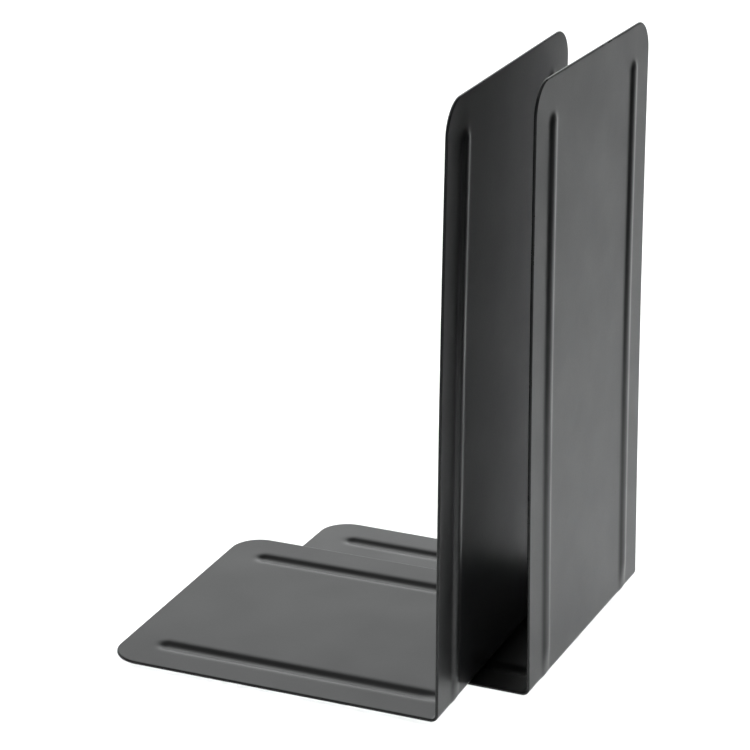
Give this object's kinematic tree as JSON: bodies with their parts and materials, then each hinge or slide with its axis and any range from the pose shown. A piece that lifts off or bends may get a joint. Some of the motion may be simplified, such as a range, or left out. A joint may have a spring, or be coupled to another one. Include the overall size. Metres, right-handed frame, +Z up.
{
  "type": "pair of book ends",
  "caption": "Pair of bent-steel book ends with pressed stiffening ribs and rubber feet, stored one over the other, each holding a row of books upright.",
  "frame": {"origin": "bottom centre of the pair's bounding box, on the surface that the rear feet stand on", "axes": "+Z up, +X from the tips of the bases to the uprights, +Y along the folds"},
  "size_m": [0.1652, 0.1718, 0.2442],
  "materials": {
    "coated_steel": "satin black powder coat",
    "foot_rubber": "matte"
  },
  "bodies": {
    "rear_book_end": {"rear_plate": "coated_steel", "rear_foot_heel_near": "foot_rubber", "rear_foot_heel_far": "foot_rubber", "rear_foot_tip_near": "foot_rubber", "rear_foot_tip_far": "foot_rubber"},
    "front_book_end": {"front_plate": "coated_steel", "front_foot_heel_near": "foot_rubber", "front_foot_heel_far": "foot_rubber", "front_foot_tip_near": "foot_rubber", "front_foot_tip_far": "foot_rubber"}
  },
  "joints": [
    {"name": "front_slide", "type": "slide", "parent": "rear_book_end", "child": "front_book_end", "axis": [1, 0, 0], "range_m": [-0.1, 0.014]}
  ]
}
